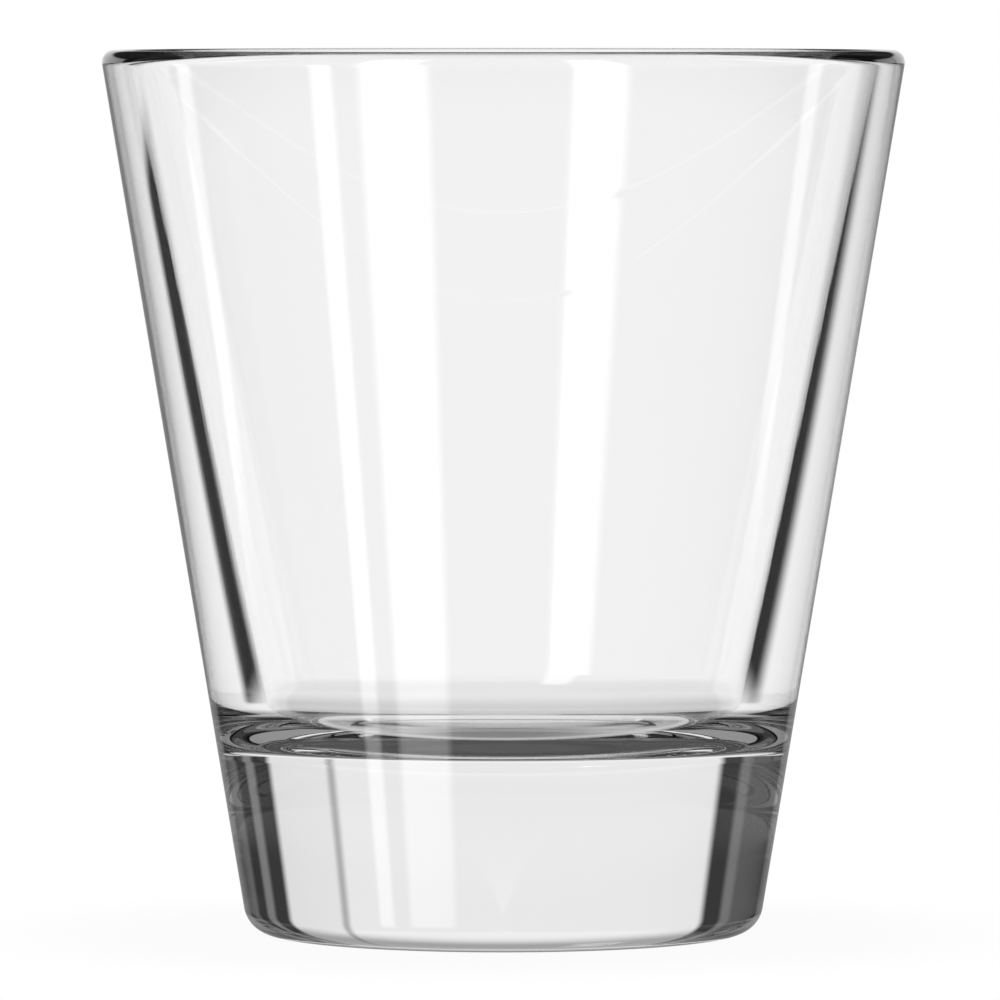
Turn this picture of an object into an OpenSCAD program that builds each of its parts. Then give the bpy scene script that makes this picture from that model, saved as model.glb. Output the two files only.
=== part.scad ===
// Rocks glass: one piece of pressed, fire-polished glass.
// It stands on the plane z = 0, with the middle of its foot at the origin.

/* [Outside] */
// Height of the glass, from the table to the top of the lip
glass_h = 100; // [85:1:115]
// Diameter across the mouth, where the straight outer wall would reach the top
mouth_d = 91.2; // [84:0.2:104]
// Diameter across the foot, where the straight outer wall would reach the table
foot_d = 57.8; // [50:0.2:66]
// Radius of the rounded heel between the wall and the foot
heel_r = 3.5; // [1.5:0.25:6]

/* [Lip and wall] */
// Radius of the fully rounded lip, half the thickness of the wall there
lip_r = 1.4; // [0.8:0.05:2]
// Thickness of the wall at the floor of the bowl, measured level
floor_wall = 6.4; // [4:0.1:9]

/* [Bowl] */
// Thickness of the solid base, from the table to the floor of the bowl
base_h = 21.8; // [12:0.2:32]
// Radius of the corner between the floor of the bowl and its wall
bowl_r = 7; // [2:0.25:12]

/* [Underside] */
// Diameter of the shallow hollow under the foot, inside the ring that it stands on
punt_d = 42; // [30:0.5:48]
// Depth of the shallow hollow under the foot
punt_h = 1.2; // [0.4:0.1:3]

/* [Hidden] */
// Number of sides that a preview gives each round shape
$fn = 180;
// How far the cutter for the bowl stands above the lip
cut_over = 1;
// How far each rounding stands past the lines that it runs into, so that they cross cleanly
seam = 0.0005;

// Lean of the outer wall from upright
outer_lean = atan((mouth_d - foot_d) / 2 / glass_h);
// Distance from the axis to the outer wall at a height
function outer_x(z) = foot_d / 2 + z * tan(outer_lean);

// Middle of the circle that rounds the lip: it touches the top and the outer wall
lip_z = glass_h - lip_r;
lip_x = outer_x(lip_z) - lip_r / cos(outer_lean);

// Edge where the floor of the bowl and its wall would meet if the corner were sharp
edge_x = outer_x(base_h) - floor_wall;
// The wall of the bowl rises from that edge and just touches the circle of the lip
rise_x = lip_x - edge_x;
rise_z = lip_z - base_h;
inner_lean = atan2(rise_x, rise_z) - asin(lip_r / norm([rise_x, rise_z]));
// Distance from the axis to the wall of the bowl at a height
function inner_x(z) = edge_x + (z - base_h) * tan(inner_lean);

// Radius of the sphere whose cap is the hollow under the foot
punt_ball_r = (pow(punt_d / 2, 2) + pow(punt_h, 2)) / (2 * punt_h);

// Middle of a circle that rounds the corner between a level line and a wall leaning outward above it
function corner_middle(edge, r, lean) = [edge[0] - r * tan(45 - lean / 2), edge[1] + r];
// Point where a circle around a middle touches a leaning wall, on the outer side of the circle
function wall_touch(middle, r, lean) = middle + r * [cos(lean), -sin(lean)];

heel_middle = corner_middle([foot_d / 2, 0], heel_r, outer_lean);
bowl_middle = corner_middle([edge_x, base_h], bowl_r, inner_lean);
lip_middle = [lip_x, lip_z];
// Points where the lip runs into the outer wall and into the wall of the bowl
lip_out = wall_touch(lip_middle, lip_r, outer_lean);
lip_in = wall_touch(lip_middle, -lip_r, inner_lean);

// Half section of the glass as if it were filled to the lip
module filled_section() {
    polygon([
        [0, 0],
        [heel_middle[0], 0],
        wall_touch(heel_middle, heel_r, outer_lean),
        lip_out,
        lip_middle,
        lip_in,
        [0, lip_in[1]]
    ]);
    translate(heel_middle) circle(r = heel_r + seam);
}

// Half section of the space inside the bowl, carried on above the lip
module bowl_section() {
    polygon([
        [0, base_h],
        [bowl_middle[0], base_h],
        wall_touch(bowl_middle, bowl_r, inner_lean),
        [inner_x(glass_h + cut_over), glass_h + cut_over],
        [0, glass_h + cut_over]
    ]);
    translate(bowl_middle) circle(r = bowl_r + seam);
}

// Half section of the glass: the filled form, less the bowl and the hollow under the foot, with its lip
module glass_section() {
    difference() {
        filled_section();
        bowl_section();
        translate([0, punt_h - punt_ball_r]) circle(r = punt_ball_r);
    }
    translate(lip_middle) circle(r = lip_r + seam);
}

module tumbler() {
    color([0.93, 0.95, 0.95, 0.35]) rotate_extrude() glass_section();
}

tumbler();
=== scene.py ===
# %% [markdown]
# # A rocks glass, spun from a drawn half section
#
# The object is a heavy drinking glass: one piece of clear pressed glass, round, with a straight wall that
# leans outward, a rounded lip, a deep bowl and a thick solid base. It has no colour of its own, so almost
# all that an eye sees of it is the room, bent and mirrored. This lesson therefore has two halves: a wall
# whose curves are exact, because most rays cross four of them, and a small studio worth looking at through
# it.
#
# The imported model comes first. It gives the frame that everything else is built in.

# %% Load the imported model
import bpy
import math
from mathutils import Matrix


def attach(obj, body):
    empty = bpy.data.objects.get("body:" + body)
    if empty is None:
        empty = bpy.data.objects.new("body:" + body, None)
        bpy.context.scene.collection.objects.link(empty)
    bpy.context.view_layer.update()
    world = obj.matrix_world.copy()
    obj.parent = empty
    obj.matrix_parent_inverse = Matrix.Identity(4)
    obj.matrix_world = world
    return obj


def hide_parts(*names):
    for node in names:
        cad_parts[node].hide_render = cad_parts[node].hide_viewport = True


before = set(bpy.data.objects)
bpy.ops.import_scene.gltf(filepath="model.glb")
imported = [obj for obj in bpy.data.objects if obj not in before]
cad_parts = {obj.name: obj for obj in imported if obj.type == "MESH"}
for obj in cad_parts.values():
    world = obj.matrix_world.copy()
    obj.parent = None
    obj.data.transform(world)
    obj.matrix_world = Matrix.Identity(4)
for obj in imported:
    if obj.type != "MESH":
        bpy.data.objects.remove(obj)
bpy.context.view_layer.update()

# %% [markdown]
# ## Writing node trees as sums
#
# Both the shape and the finish of the glass are made by nodes. A tree of thirty Math nodes is hard to read,
# so two small helpers turn a tree into ordinary Python. A Wire is the value on one output socket, and
# adding, subtracting, multiplying or dividing wires adds the Math node that does it. A Board is a tree that
# makes any other node from its type, its settings and the values or wires of its sockets. Its rise and fall
# are soft steps, which all the soft edges below are made of.

# %% Wires and boards
class Wire:
    """The value on one output socket of a node tree."""

    def __init__(self, board, socket):
        self.board = board
        self.socket = socket

    def maths(self, operation, *others):
        values = dict(enumerate((self,) + others))
        return self.board.node("ShaderNodeMath", {"operation": operation}, values)

    def after(self, operation, first):
        return self.board.node("ShaderNodeMath", {"operation": operation}, {0: first, 1: self})

    def out(self, name):
        return Wire(self.board, self.socket.node.outputs[name])

    def __add__(self, other):
        return self.maths("ADD", other)

    def __sub__(self, other):
        return self.maths("SUBTRACT", other)

    def __mul__(self, other):
        return self.maths("MULTIPLY", other)

    def __truediv__(self, other):
        return self.maths("DIVIDE", other)

    def __radd__(self, other):
        return self.after("ADD", other)

    def __rsub__(self, other):
        return self.after("SUBTRACT", other)

    def __rmul__(self, other):
        return self.after("MULTIPLY", other)

    def __rtruediv__(self, other):
        return self.after("DIVIDE", other)


class Board:
    """A node tree that hands out wires."""

    def __init__(self, tree):
        self.tree = tree

    def node(self, kind, settings=None, values=None):
        made = self.tree.nodes.new(kind)
        for name, value in (settings or {}).items():
            if name == "items":
                while len(made.index_switch_items) < value:
                    made.index_switch_items.new()
            else:
                setattr(made, name, value)
        for key, value in (values or {}).items():
            if isinstance(value, Wire):
                self.tree.links.new(value.socket, made.inputs[key])
            else:
                made.inputs[key].default_value = value
        return Wire(self, made.outputs[0]) if made.outputs else made

    def rise(self, value, low, high):
        """0 below low, 1 above high, and a soft step between them."""
        return self.node("ShaderNodeMapRange", {"interpolation_type": "SMOOTHSTEP"},
                         {"Value": value, "From Min": low, "From Max": high})

    def fall(self, value, low, high):
        """1 below low, 0 above high, and a soft step between them."""
        return 1 - self.rise(value, low, high)


print("helpers ready: Wire and Board")

# %% [markdown]
# ## The sizes of the glass
#
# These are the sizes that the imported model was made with, in metres. The two diameters are those that the
# straight outer wall would have at the table and at the top if nothing were rounded. Two more values set
# the fineness: how many sides the turned glass gets, and how many steps each rounding gets. A glass shows
# its facets far more than a pot does, so both are generous.

# %% Sizes
SIZES = {
    "Height": 0.1000,
    "Mouth width": 0.0912,
    "Foot width": 0.0578,
    "Heel radius": 0.0035,
    "Lip radius": 0.0014,
    "Wall at floor": 0.0064,
    "Base height": 0.0218,
    "Bowl corner": 0.0070,
    "Hollow width": 0.0420,
    "Hollow depth": 0.0012,
}
FINENESS = {"Sides": 320, "Steps": 24}
print("sizes in mm:", {name: round(size * 1000, 2) for name, size in SIZES.items()})

# %% [markdown]
# ## A lathe in Geometry Nodes
#
# A real glass of this kind is pressed: a plunger pushes a gob of hot glass out against a mould, so its
# shape is one half section carried round an axis. The Screw modifier could turn a hand-placed outline, but
# then every size would be frozen into the points. Here the tree works the outline out from named sizes, as
# one would draw it on squared paper, rounds its corners with Fillet Curve, and spins it.
#
# The first step is the corners, each at a distance from the axis and a height. The inner wall takes the
# most care. It starts at the edge of the floor, and must just touch the same circle that rounds the lip, so
# that the lip is a full round with no flat and no step. The lean of a line from a point to a circle that it
# touches is an arctangent less an arcsine, which is what the code below writes.

# %% Start the tree, with one named input for each size
tree = bpy.data.node_groups.new("tumbler_lathe", "GeometryNodeTree")
tree.interface.new_socket("Geometry", in_out="OUTPUT", socket_type="NodeSocketGeometry")
kinds = {name: "NodeSocketFloat" for name in SIZES}
kinds.update({name: "NodeSocketInt" for name in FINENESS})
kinds["Glass"] = "NodeSocketMaterial"
sockets = {}
for name, kind in kinds.items():
    sockets[name] = tree.interface.new_socket(name, in_out="INPUT", socket_type=kind)

lathe = Board(tree)
given = lathe.node("NodeGroupInput")
height, lip_r, base_h = given.out("Height"), given.out("Lip radius"), given.out("Base height")
heel_r, bowl_r = given.out("Heel radius"), given.out("Bowl corner")
foot_x, hollow_x = given.out("Foot width") * 0.5, given.out("Hollow width") * 0.5
hollow_h = given.out("Hollow depth")
print("inputs:", ", ".join(sockets))

# %% Where the walls lean
outer_slope = (given.out("Mouth width") * 0.5 - foot_x) / height
outer_lean = outer_slope.maths("ARCTANGENT")
lip_z = height - lip_r
lip_x = foot_x + outer_slope * lip_z - lip_r / outer_lean.maths("COSINE")

edge_x = foot_x + outer_slope * base_h - given.out("Wall at floor")
rise_x, rise_z = lip_x - edge_x, lip_z - base_h
reach = (rise_x * rise_x + rise_z * rise_z).maths("SQRT")
inner_lean = rise_x.maths("ARCTAN2", rise_z) - (lip_r / reach).maths("ARCSINE")
inner_slope = inner_lean.maths("TANGENT")


def outer_at(z):
    return foot_x + outer_slope * z


def inner_at(z):
    return edge_x + inner_slope * (z - base_h)


print("nodes so far:", len(tree.nodes))

# %% [markdown]
# Smooth shading spreads a normal from each vertex to the next. If a rounding ended right at a long straight
# wall, the last tilted normal would be spread over the whole wall, and the glass would look bent. So a plain
# point is set on each straight just past the end of every rounding: from there on, the normals are exact.

# %% Corners of the half section, with a keeper point beside each rounding
KEEP = 0.0003
HALF_RIGHT_ANGLE = math.pi / 4

heel_leg = heel_r * (HALF_RIGHT_ANGLE - outer_lean * 0.5).maths("TANGENT")
bowl_leg = bowl_r * (HALF_RIGHT_ANGLE - inner_lean * 0.5).maths("TANGENT")
heel_end = heel_leg * outer_lean.maths("COSINE") + KEEP
lip_out_end = lip_z - lip_r * outer_lean.maths("SINE") - KEEP
lip_in_end = lip_z + lip_r * inner_lean.maths("SINE") - KEEP
bowl_end = base_h + bowl_leg * inner_lean.maths("COSINE") + KEEP

corners = [
    (hollow_x, 0.0, 0.0),
    (foot_x, 0.0, heel_r),
    (outer_at(heel_end), heel_end, 0.0),
    (outer_at(lip_out_end), lip_out_end, 0.0),
    (outer_at(height), height, lip_r),
    (inner_at(height), height, lip_r),
    (inner_at(lip_in_end), lip_in_end, 0.0),
    (inner_at(bowl_end), bowl_end, 0.0),
    (edge_x, base_h, bowl_r),
    (edge_x - bowl_leg - KEEP, base_h, 0.0),
    (0.0, base_h, 0.0),
]


def point(x, z):
    return lathe.node("ShaderNodeCombineXYZ", {}, {"X": x, "Z": z})


index = lathe.node("GeometryNodeInputIndex")
count = len(corners)
places = {"Index": index}
rounds = {"Index": index}
for i, (x, z, r) in enumerate(corners):
    places[i + 1] = point(x, z)
    rounds[i + 1] = r
place = lathe.node("GeometryNodeIndexSwitch", {"data_type": "VECTOR", "items": count}, places)
rounding = lathe.node("GeometryNodeIndexSwitch", {"data_type": "FLOAT", "items": count}, rounds)
print("corners in the half section:", count)

# %% Draw the section: the rounded line, and the arc of the hollow under the foot
JOIN_GAP = 1e-6

chain = lathe.node("GeometryNodeMeshLine", {}, {"Count": count})
chain = lathe.node("GeometryNodeSetPosition", {}, {"Geometry": chain, "Position": place})
line = lathe.node("GeometryNodeMeshToCurve", {}, {"Mesh": chain})
line = lathe.node("GeometryNodeFilletCurve", {"mode": "POLY"},
                  {"Curve": line, "Count": given.out("Steps"), "Radius": rounding, "Limit Radius": True})

hollow_ball = (hollow_x * hollow_x + hollow_h * hollow_h) / (2.0 * hollow_h)
half_x = hollow_x * 0.5
half_z = (hollow_ball * hollow_ball - half_x * half_x).maths("SQRT") - (hollow_ball - hollow_h)
hollow = lathe.node("GeometryNodeCurveArc", {"mode": "POINTS"},
                    {"Resolution": given.out("Steps"), "Start": point(0.0, hollow_h),
                     "Middle": point(half_x, half_z), "End": point(hollow_x, 0.0)})

both = lathe.node("GeometryNodeJoinGeometry")
for part in (hollow, line):
    wire_mesh = lathe.node("GeometryNodeCurveToMesh", {}, {"Curve": part})
    tree.links.new(wire_mesh.socket, both.socket.node.inputs[0])
section = lathe.node("GeometryNodeMergeByDistance", {}, {"Geometry": both, "Distance": JOIN_GAP})
section = lathe.node("GeometryNodeMeshToCurve", {}, {"Mesh": section})
print("nodes so far:", len(tree.nodes))

# %% [markdown]
# To spin the section, a flat grid is laid out with one row for each point of the section and one column for
# each side of the turned glass. Every grid point then asks which row it is in, takes that point of the
# section, and swings it to its own angle. The first and last column land on each other, and so do all the
# points on the axis. Merging them closes the seam and both poles, so the glass is one watertight skin.

# %% Spin the section
SEAM_GAP = 1e-7

sides = given.out("Sides")
size = lathe.node("GeometryNodeAttributeDomainSize", {"component": "CURVE"}, {"Geometry": section})
columns = sides + 1
grid = lathe.node("GeometryNodeMeshGrid", {}, {"Vertices X": size.out("Point Count"), "Vertices Y": columns})
row = (index / columns).maths("FLOOR")
angle = (index - row * columns) * math.tau / sides
spot = lathe.node("GeometryNodeSampleIndex", {"data_type": "FLOAT_VECTOR"},
                  {"Geometry": section, "Value": lathe.node("GeometryNodeInputPosition"), "Index": row})
split = lathe.node("ShaderNodeSeparateXYZ", {}, {"Vector": spot})
turned = lathe.node("ShaderNodeCombineXYZ", {}, {
    "X": split * angle.maths("COSINE"), "Y": split * angle.maths("SINE"), "Z": split.out("Z")})
skin = lathe.node("GeometryNodeSetPosition", {}, {"Geometry": grid, "Position": turned})
skin = lathe.node("GeometryNodeMergeByDistance", {}, {"Geometry": skin, "Distance": SEAM_GAP})
skin = lathe.node("GeometryNodeSetShadeSmooth", {}, {"Geometry": skin})
skin = lathe.node("GeometryNodeRealizeInstances", {}, {"Geometry": skin})
skin = lathe.node("GeometryNodeSetMaterial", {}, {"Geometry": skin, "Material": given.out("Glass")})
lathe.node("NodeGroupOutput", {}, {"Geometry": skin})
print("nodes in the lathe:", len(tree.nodes))

# %% [markdown]
# ## The glass itself
#
# Fire-polished soda-lime glass is smooth and colourless, with an index of refraction of about 1.52. A
# perfect shader would look like a calculation, though. Pressed glass is never optically flat: the skin froze
# while it was still moving, so reflections waver a little along the wall. A faint bump, drawn out along the
# height, is enough for that, and a trace of uneven polish in the roughness softens a highlight here and
# there.

# %% Clear pressed glass
GLASS_INDEX = 1.52
WAVER_SCALE = 45.0
WAVER_DEPTH = 0.000010
DRAWN_OUT = 0.35
HAZE_SCALE = 38.0
HAZE_RANGE = 0.50, 0.80
HAZE_ROUGHNESS = 0.012


def new_material(name):
    """A material with an empty board to build it on."""
    material = bpy.data.materials.new(name)
    material.use_nodes = True
    material.node_tree.nodes.clear()
    return material, Board(material.node_tree)


clear, melt = new_material("clear_pressed_glass")
where = melt.node("ShaderNodeTexCoord").out("Object")
drawn = melt.node("ShaderNodeMapping", {}, {"Vector": where, "Scale": (1.0, 1.0, DRAWN_OUT)})
waver = melt.node("ShaderNodeTexNoise", {}, {"Vector": drawn, "Scale": WAVER_SCALE, "Detail": 0.0})
haze = melt.node("ShaderNodeTexNoise", {}, {"Vector": where, "Scale": HAZE_SCALE, "Detail": 3.0})
polish = melt.rise(haze, *HAZE_RANGE) * HAZE_ROUGHNESS
skin_normal = melt.node("ShaderNodeBump", {}, {"Strength": 1.0, "Distance": WAVER_DEPTH, "Height": waver})
body = melt.node("ShaderNodeBsdfPrincipled", {}, {
    "Base Color": (1.0, 1.0, 1.0, 1.0), "IOR": GLASS_INDEX, "Transmission Weight": 1.0,
    "Roughness": polish, "Normal": skin_normal})
melt.node("ShaderNodeOutputMaterial", {}, {"Surface": body})
print("material:", clear.name)

# %% Turn the glass and keep it as a plain mesh
def stand(name, data):
    """A new object in the scene."""
    thing = bpy.data.objects.new(name, data)
    bpy.context.scene.collection.objects.link(thing)
    return thing


blank = stand("tumbler_blank", bpy.data.meshes.new("tumbler_blank"))
wheel = blank.modifiers.new("lathe", "NODES")
wheel.node_group = tree
for name, value in {**SIZES, **FINENESS, "Glass": clear}.items():
    wheel[sockets[name].identifier] = value
spun = blank.evaluated_get(bpy.context.evaluated_depsgraph_get())
mesh = bpy.data.meshes.new_from_object(spun)
mesh.name = "glass_tumbler"
glass = stand("glass_tumbler", mesh)
bpy.data.objects.remove(blank)
print("turned:", len(mesh.vertices), "vertices in", glass.name)

# %% [markdown]
# The lathe may have turned the skin inside out. The sum of the small pyramids from the origin to each
# triangle is the volume of the glass, and it is negative when the faces point inward. Then they are flipped.

# %% Faces outward, and the glass in its place
mesh.calc_loop_triangles()
volume = 0.0
for triangle in mesh.loop_triangles:
    a, b, c = (mesh.vertices[i].co for i in triangle.vertices)
    volume += a.dot(b.cross(c)) / 6
if volume < 0:
    mesh.flip_normals()
print(len(mesh.loop_triangles), "triangles,", round(abs(volume) * 1e6, 2), "ml of glass")

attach(glass, "root")
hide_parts("tumbler")

# %% [markdown]
# ## The camera
#
# The photograph was taken from far away and a little above the lip, so the mouth is almost a line while the
# foot still shows its curve. How far apart those two views are gives the distance, and the foot's place in
# the picture gives the tilt.

# %% Camera
FRAME = 1000
DISTANCE = 1.250
EYE_HEIGHT = 0.1065
PIXELS_PER_METRE = 8844
AXIS_COLUMN = 503.4
FOOT_ROW = 932.5
FARTHEST = 100

focal = PIXELS_PER_METRE * DISTANCE
lens = bpy.data.cameras.new("camera")
lens.sensor_fit = "HORIZONTAL"
lens.lens = lens.sensor_width * focal / FRAME
lens.shift_x = (FRAME / 2 - AXIS_COLUMN) / FRAME
lens.clip_end = FARTHEST
camera = stand("camera", lens)
tilt = math.atan2(EYE_HEIGHT, DISTANCE) - math.atan((FOOT_ROW - FRAME / 2) / focal)
camera.location = (0, -DISTANCE, EYE_HEIGHT)
camera.rotation_euler = (math.pi / 2 - tilt, 0, 0)
bpy.context.scene.camera = camera
print("camera tilted down by", round(math.degrees(tilt), 2), "degrees, lens", round(lens.lens, 1), "mm")

# %% [markdown]
# ## The studio wall
#
# Clear glass has no colour of its own to light, so one lights what is seen through it. On a white page that
# is a bright field: a pale wall behind the glass, wide enough for every ray that passes straight through,
# and black cards to both sides of it. The thick edges of the glass bend rays far aside, so they show the
# black, and that draws the outline. The wall grows darker towards its top, which the rounded heel gathers
# into one dark line. For rays that were never mirrored the near half of the room is pale too, so that the
# glass looks clear from behind.
#
# Cards could be modelled as planes, but here the world does it by direction, which keeps every edge soft and
# leaves nothing standing in the way. The slits between the cards give the fine upright stripes in the
# corners of the base. Light Path counts how often a ray was mirrored, as Glossy Depth. Light that runs round
# and round inside the base comes out dim, so the world is darker for it. Whatever looks past the glass sees
# plain white, and a surface that is neither mirror nor lens is lit by an even room.
#
# A thick glass mirrors a ray inside itself far more often than most objects do. Blender gives up on a ray
# after a few such bounces and paints it black, so it is told to follow them for longer.

# %% Azimuth and elevation of a ray, in degrees
TO_DEGREES = 180 / math.pi
EDGE_SOFT = 1.5

world = bpy.data.worlds.new("studio")
world.use_nodes = True
world.node_tree.nodes.clear()
bpy.context.scene.world = world
air = Board(world.node_tree)
aim = air.node("ShaderNodeSeparateXYZ", {}, {"Vector": air.node("ShaderNodeTexCoord").out("Generated")})
azimuth = aim.maths("ARCTAN2", aim.out("Y")) * TO_DEGREES
elevation = aim.out("Z").maths("ARCSINE") * TO_DEGREES


def between(start, end, soft=EDGE_SOFT):
    """1 between two azimuths, which count from +Y towards +X, with soft ends."""
    return air.rise(azimuth, start - soft, start + soft) * air.fall(azimuth, end - soft, end + soft)


paths = bpy.context.scene.cycles
paths.max_bounces = 40
paths.glossy_bounces = 32
paths.transmission_bounces = 16
print("world:", world.name, "with up to", paths.glossy_bounces, "mirrorings")

# %% The wall, with a dark seam and a dimmer right end
WALL = 0.88
WALL_ENDS = -38.5, 44.5
SEAM = 26.2, 27.8
SEAM_LOSS = 0.5
DIM_END = 27, 50
DIM_LOSS = 0.05
SEAM_SOFT = 0.8
FAR_HALF = -90, 90
HALF_SOFT = 8
STRAIGHT_FADE = 14, 32
STRAIGHT_LOSS = 0.65
MIRRORED_FADE = 9.5, 13

ray = air.node("ShaderNodeLightPath")
bounces = ray.out("Glossy Depth")
mirrored = bounces.maths("MINIMUM", 1.0)
seam = 1 - SEAM_LOSS * between(*SEAM, SEAM_SOFT)
dim_end = 1 - DIM_LOSS * between(*DIM_END, SEAM_SOFT)
near_half = (1 - between(*FAR_HALF, HALF_SOFT)) * (1 - mirrored)
straight_fade = STRAIGHT_LOSS * air.rise(elevation, *STRAIGHT_FADE)
mirrored_fade = air.rise(elevation, *MIRRORED_FADE)
wall = between(*WALL_ENDS) * seam * dim_end + near_half
wall = wall * (1 - straight_fade - mirrored * (mirrored_fade - straight_fade))
print("wall", WALL, "from", WALL_ENDS[0], "to", WALL_ENDS[1], "degrees")

# %% The cards, and the slits between them
CARD = 0.04
# Each slit has its light, its two ends and how soft those ends are.
SLITS = [
    (0.16, -51, -46, EDGE_SOFT),
    (0.08, -80, -51, EDGE_SOFT),
    (0.20, 52, 57, EDGE_SOFT),
    (0.16, 65, 80, 2.5),
]

cards = CARD + wall * (WALL - CARD)
for light, start, end, soft in SLITS:
    cards = cards + light * between(start, end, soft)
print("cards", CARD, "with", len(SLITS), "slits")

# %% The ceiling, and light that was mirrored many times
CEILING = 0.7
CEILING_EDGE = 45, 60
DEEP = 4.5, 5.5
DEEP_SHIFT = 8
LOST = 11.5, 12.5
LOST_LIGHT = 0.3
LOST_EDGE = 25, 32

deep = air.rise(bounces, *DEEP)
lost = air.rise(bounces, *LOST) * air.rise(elevation, *LOST_EDGE)
ahead = (1 - deep) * cards + LOST_LIGHT * lost
above = air.rise(elevation - DEEP_SHIFT * deep, *CEILING_EDGE)
ahead = ahead + above * (CEILING - ahead).maths("MAXIMUM", 0.0)
print("ceiling", CEILING, "from", CEILING_EDGE[1], "degrees up")

# %% What lies below the edge of the table
SHEEN = 0.35
SHEEN_EDGE = 22, 28
STEEP = -42, -34
TABLE_EDGE = -1.5, -0.5

below = CARD + (SHEEN - CARD) * air.fall(azimuth.maths("ABSOLUTE"), *SHEEN_EDGE)
below = below + (WALL - below) * air.fall(elevation, *STEEP)
studio = below + air.rise(elevation, *TABLE_EDGE) * (ahead - below)
print("sheen", SHEEN, "below the table's edge")

# %% Who sees what
ROOM = 1.0

glassy = ray.out("Is Transmission Ray").maths("MAXIMUM", ray.out("Is Glossy Ray"))
level = ROOM + glassy * (studio - ROOM)
level = level + ray.out("Is Camera Ray") * (1 - level)
night = air.node("ShaderNodeBackground", {}, {"Color": (0, 0, 0, 1), "Strength": 0.0})
day = air.node("ShaderNodeBackground", {}, {"Color": (1, 1, 1, 1), "Strength": 1.0})
sky = air.node("ShaderNodeMixShader", {}, {0: level, 1: night, 2: day})
air.node("ShaderNodeOutputWorld", {}, {"Surface": sky})
print("nodes in the world:", len(world.node_tree.nodes))

# %% [markdown]
# ## The table
#
# The glass stands on a white sheet that runs on without an edge, and its shadow is painted on as only a
# breath of grey at the foot. Inside the glass the sheet is seen in two ways. Rays that cross the glass
# without being mirrored look down on white, with a painted soft shade round the foot, a faint painted one
# behind it and a darker painted one under the middle, where the foot is hollow. Rays that were mirrored
# inside the wall or the base come out far to one side, where black cards lie close to the glass and cover
# the sheet; under the glass they see a painted shade too. The bounce count tells the two apart, so one
# material can serve both, and the cards need no mesh. A ray that has just been mirrored off the glass
# doesn't meet the sheet at all, and sees what the world shows below the edge of the table. The pairs of
# values below are where a shade starts and ends, mostly in metres from the axis.

# %% A white sheet
SHEET = 20
SHEET_DROP = 0.00005


def panel(name, corners):
    """A flat panel with four corners."""
    face = bpy.data.meshes.new(name)
    face.from_pydata(corners, [], [(0, 1, 2, 3)])
    return stand(name, face)


half = SHEET / 2
floor = panel("floor", [(-half, -half, 0), (half, -half, 0), (half, half, 0), (-half, half, 0)])
floor.location.z = -SHEET_DROP
floor.visible_glossy = False

pale, sheet = new_material("white_sheet")
pale.cycles.emission_sampling = "NONE"
floor.data.materials.append(pale)
x = sheet.node("ShaderNodeSeparateXYZ", {}, {"Vector": sheet.node("ShaderNodeTexCoord").out("Object")})
y = x.out("Y")
radius = (x * x + y * y).maths("SQRT")
ray = sheet.node("ShaderNodeLightPath")
bounces = ray.out("Glossy Depth")
print("sheet:", SHEET, "m wide")

# %% The shade that rays see which were never mirrored
FOOT_SHADE = 0.060, 0.095
FOOT_LOSS = 0.35
HOLLOW_SHADE = 0.004, 0.018
HOLLOW_LOSS = 0.5
BEHIND_SIDE = 0.03, 0.10
BEHIND_NEAR = 0.06, 0.10
BEHIND_FAR = 0.10, 0.20
BEHIND_LOSS = 0.15

foot = sheet.fall(radius, *FOOT_SHADE)
middle = sheet.fall(radius, *HOLLOW_SHADE)
behind = sheet.fall(x.maths("ABSOLUTE"), *BEHIND_SIDE)
behind = behind * sheet.rise(y, *BEHIND_NEAR) * sheet.fall(y, *BEHIND_FAR)
straight = (1 - FOOT_LOSS * foot) * (1 - HOLLOW_LOSS * middle) * (1 - BEHIND_LOSS * behind)
print("soft shade to", FOOT_SHADE[1], "m from the axis")

# %% The shade under the glass that mirrored rays see
SHADOW = 0.045, 0.075
SHADOW_LOSS = 0.6
UNDER = 0.030, 0.045
UNDER_SHIFT = 0.006
UNDER_LOSS = 0.8
UNDER_MORE = 0.15

twice = (bounces - 1).maths("MAXIMUM", 0.0).maths("MINIMUM", 1.0)
once = 1 - twice
shadow = sheet.fall(radius, *SHADOW)
under = sheet.fall(radius - UNDER_SHIFT * twice, *UNDER)
bounced = (1 - SHADOW_LOSS * shadow) * (1 - (UNDER_LOSS + UNDER_MORE * twice) * under)
print("darker still to", UNDER[1], "m from the axis")

# %% The cards that mirrored rays see, which fan out from a point in front of the axis
FAN = 0.072
CARD_LOSS = 0.97
CARD_START = 0.095, 0.120
CARD_SHIFT = 0.05
BESIDE_TURN = 60, 75
BESIDE_START = 0.27, 0.31
BESIDE_SLANT = 0.24
DEEP_FLOOR = 0.22

turn = x.maths("ARCTAN2", y + FAN) * TO_DEGREES


def card(side, first, wider, soft, last, far):
    """A card between two bearings that fades out far off. Rays mirrored twice or more see a wider one."""
    shape = sheet.rise(side - (first - wider * twice), -soft, soft)
    return shape * (1 - once * sheet.rise(side, *last)) * sheet.fall(radius, *far)


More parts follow.
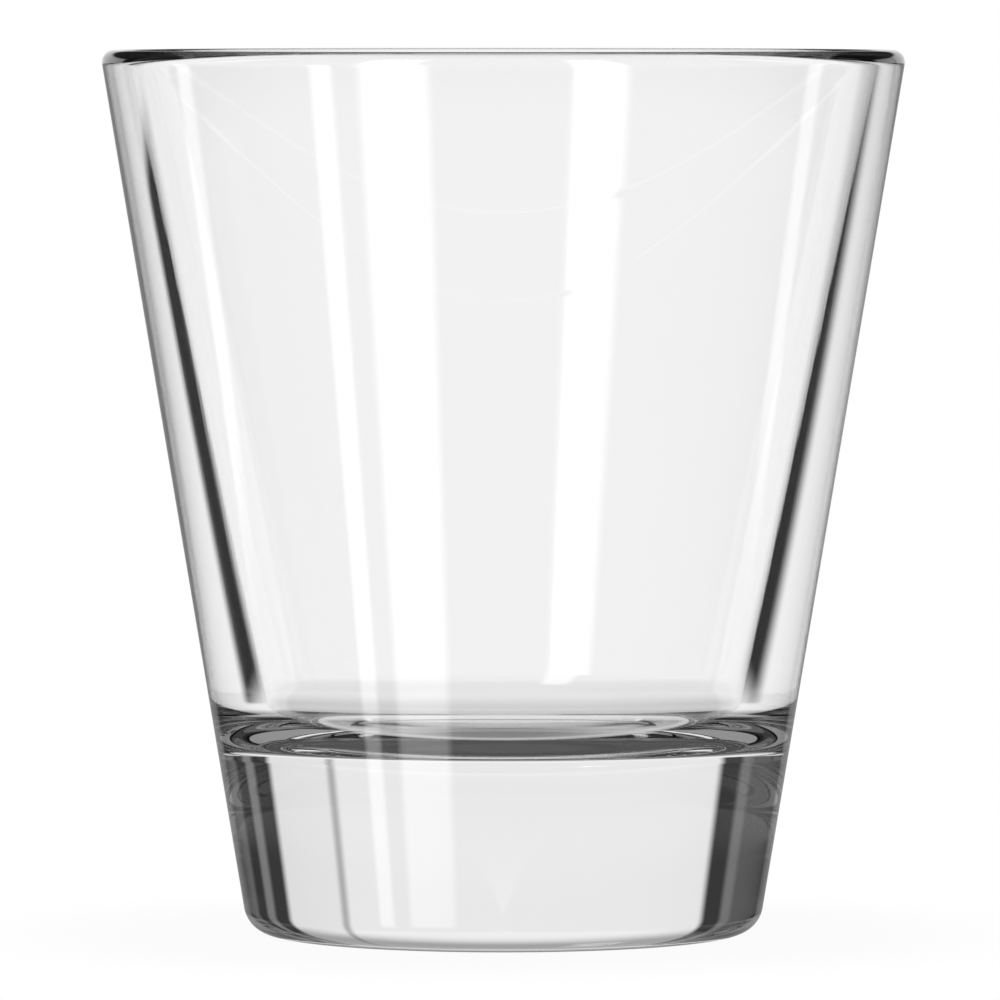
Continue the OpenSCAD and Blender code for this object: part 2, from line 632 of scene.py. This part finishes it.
card_left = card(-1.0 * turn, first=32.0, wider=12, soft=2.5, last=(39, 44), far=(0.40, 0.45))
card_right = card(turn, first=34.3, wider=14, soft=4, last=(42, 47), far=(0.45, 0.65))
floor_cards = (card_left + card_right) * sheet.rise(radius + CARD_SHIFT * twice, *CARD_START)
beside = sheet.rise(turn.maths("ABSOLUTE"), *BESIDE_TURN)
beside = beside * sheet.rise(radius - BESIDE_SLANT * y, *BESIDE_START)
bounced = bounced * (1 - CARD_LOSS * floor_cards) * (1 - beside)
# Rays mirrored five times or more see the sheet painted a dim grey, for light that ran round inside the
# base.
bounced = bounced + sheet.rise(bounces, *DEEP) * (DEEP_FLOOR - bounced)
print("nodes in the sheet:", len(pale.node_tree.nodes))

# %% The sheet's painted contact shadow, and the painted tone that each kind of ray sees
CONTACT = 0.030, 0.070
CONTACT_LOSS = 0.04
PAPER = (0.8, 0.8, 0.8, 1)

eye = ray.out("Is Camera Ray")
# A painted shadow: camera rays see a faint grey ring round the foot, drawn by distance from the axis.
painted_contact_shadow = 1 - CONTACT_LOSS * sheet.fall(radius, *CONTACT)
tone = straight + bounces.maths("MINIMUM", 1.0) * (bounced - straight)
tone = tone + eye * (painted_contact_shadow - tone)
# The tone mixes no light with white, so every painted shade above darkens the sheet's glow.
no_light = sheet.node("ShaderNodeEmission", {}, {"Strength": 0.0})
white = sheet.node("ShaderNodeEmission", {}, {"Strength": 1.0})
glow = sheet.node("ShaderNodeMixShader", {}, {0: tone, 1: no_light, 2: white})
matt = sheet.node("ShaderNodeBsdfDiffuse", {}, {"Color": PAPER})
seen = eye.maths("MAXIMUM", ray.out("Is Transmission Ray"))
top = sheet.node("ShaderNodeMixShader", {}, {0: seen, 1: matt, 2: glow})
sheet.node("ShaderNodeOutputMaterial", {}, {"Surface": top})
print("material:", pale.name)

# %% [markdown]
# ## The softboxes
#
# The bright bands that run down the glass are softboxes, mirrored in the front of the wall. A wide one and a
# narrow one stand low at the left in front. A higher one is mirrored in the far wall of the bowl instead,
# which gives the band right of the middle, and a slim one at each side makes the fine lines beside the dark
# edges. Each is a panel turned to the axis, with edges that fade as cloth over a lamp does.
#
# A ray that has been mirrored twice no longer draws a band but a stray hair of light, so the panels only
# answer the first bounce. Only the high one is seen by rays that have just left the glass.

# %% One softbox
STAND_OFF = 1.0
MIDDLE = SIZES["Height"] / 2


def offset(degrees):
    """How far aside an angle reaches at the softboxes."""
    return STAND_OFF * math.tan(math.radians(degrees))


def softbox(name, azimuths, elevations, radiance, edge, fade, through):
    """A panel that fills the directions between two azimuths and two elevations, in degrees."""
    turn = math.radians(sum(azimuths) / 2)
    wide = offset((azimuths[1] - azimuths[0]) / 2 + edge / 2)
    bottom, top = (MIDDLE + offset(elevation) for elevation in elevations)
    box = panel(name, [(-wide, 0, bottom), (wide, 0, bottom), (wide, 0, top), (-wide, 0, top)])
    box.location = (STAND_OFF * math.sin(turn), STAND_OFF * math.cos(turn), 0)
    box.rotation_euler = (0, 0, -turn)
    box.visible_camera = False
    box.visible_shadow = False
    box.visible_transmission = through

    lit, silk = new_material(name)
    lit.cycles.emission_sampling = "NONE"
    box.data.materials.append(lit)
    axes = silk.node("ShaderNodeSeparateXYZ", {}, {"Vector": silk.node("ShaderNodeTexCoord").out("Object")})
    shape = silk.fall(axes.maths("ABSOLUTE"), wide - offset(edge), wide)
    if fade:
        shape = shape * silk.rise(axes.out("Z"), bottom, bottom + offset(fade))
    bounces = silk.node("ShaderNodeLightPath").out("Glossy Depth")
    first_bounce = bounces.maths("COMPARE", 1.0, 0.5)
    shape = shape * first_bounce
    off = silk.node("ShaderNodeBsdfTransparent")
    on = silk.node("ShaderNodeEmission", {}, {"Strength": radiance})
    cloth = silk.node("ShaderNodeMixShader", {}, {0: shape, 1: off, 2: on})
    silk.node("ShaderNodeOutputMaterial", {}, {"Surface": cloth})
    print(name, "is", round(2 * wide, 3), "m wide and", round(top - bottom, 3), "m high")


# %% Five softboxes
softbox("wide_low", (-158.4, -138), (-30, 0), radiance=3.2, edge=4, fade=11, through=False)
softbox("narrow_low", (-129.7, -123), (-30, 0), radiance=3.4, edge=3, fade=11, through=False)
softbox("wide_high", (-156, -139.5), (3, 45), radiance=3.8, edge=5, fade=0, through=True)
softbox("left_strip", (-79, -73), (-15.5, 2), radiance=2.0, edge=3, fade=3.5, through=False)
softbox("right_strip", (77, 83), (-15.5, 2), radiance=2.0, edge=3, fade=3.5, through=False)

# %% [markdown]
# ## The picture
#
# The view transform is plain, so a white that is written as 1 is white in the picture.

# %% Finish
bpy.context.scene.view_settings.view_transform = "Standard"
